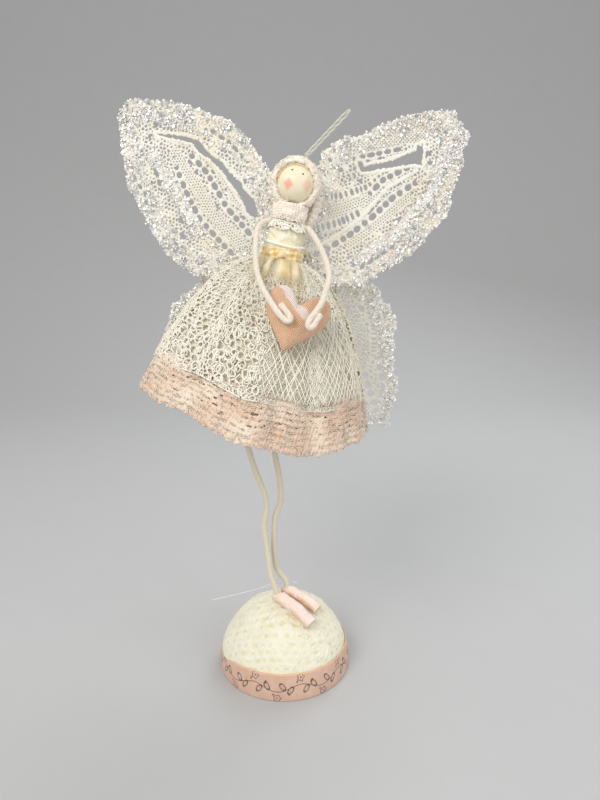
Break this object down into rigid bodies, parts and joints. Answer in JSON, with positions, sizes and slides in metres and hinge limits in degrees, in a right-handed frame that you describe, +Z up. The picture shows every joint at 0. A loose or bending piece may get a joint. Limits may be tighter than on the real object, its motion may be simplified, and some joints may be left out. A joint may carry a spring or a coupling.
{
  "type": "lace angel",
  "caption": "Standing doll angel with lace wings, a full net skirt, a knitted hood and wire legs, holding a padded heart on a lace-covered half-ball base.",
  "frame": {"origin": "centre of the flat underside of the base", "axes": "+Z up; the angel faces -Y; +X is on the viewer's right"},
  "size_m": [0.2, 0.1521, 0.336],
  "materials": {
    "foam": null,
    "knit": "cream knitted lace",
    "ribbon": "dusty peach printed ribbon",
    "cord": "off-white soft round cotton cord",
    "wire": "bright bendable steel wire",
    "satin": "peach satin",
    "thread": "stiff whitish thread",
    "felt": "rolled felt",
    "bodice": "cream yellow satin",
    "sash": "amber satin ribbon",
    "wood": "pale varnished wood",
    "hair": "dark straw flax",
    "hood": "pale pink-cream fluffy knit",
    "net": "cream cotton net",
    "lining": "beige-cream voile",
    "border": "peach crochet lace",
    "heart": "copper and peach woven lame",
    "wadding": "white polyester wadding",
    "lace": "stiffened cream lace with silver flakes"
  },
  "bodies": {
    "doll": {"base_core": "foam", "base_cover": "knit", "base_ribbon": "ribbon", "leg_left_cord": "cord", "leg_right_cord": "cord", "leg_left_wire": "wire", "leg_right_wire": "wire", "shoe_left": "satin", "shoe_right": "satin", "ankle_tie": "thread", "torso_core": "felt", "bodice": "bodice", "waist_sash": "sash", "neck_peg": "wood", "head_bead": "wood", "hair": "hair", "hood": "hood", "scarf": "hood", "skirt_lining": "lining", "skirt_net": "net", "skirt_border": "border", "arm_left_cord": "cord", "arm_right_cord": "cord", "arm_left_wire": "wire", "arm_right_wire": "wire", "heart_front": "heart", "heart_back": "heart", "heart_stuffing": "wadding", "wing_upper_left": "lace", "wing_upper_right": "lace", "wing_lower_left": "lace", "wing_lower_right": "lace"},
    "loop": {"hanging_loop": "cord"}
  },
  "joints": [
    {"name": "hanging_loop_tilt", "type": "hinge", "parent": "doll", "child": "loop", "pos_m": [0.01355, 0, 0.30247], "axis": [0, 1, 0], "range_deg": [-75, 30], "stiffness_Nm_per_rad": 0.0001}
  ]
}
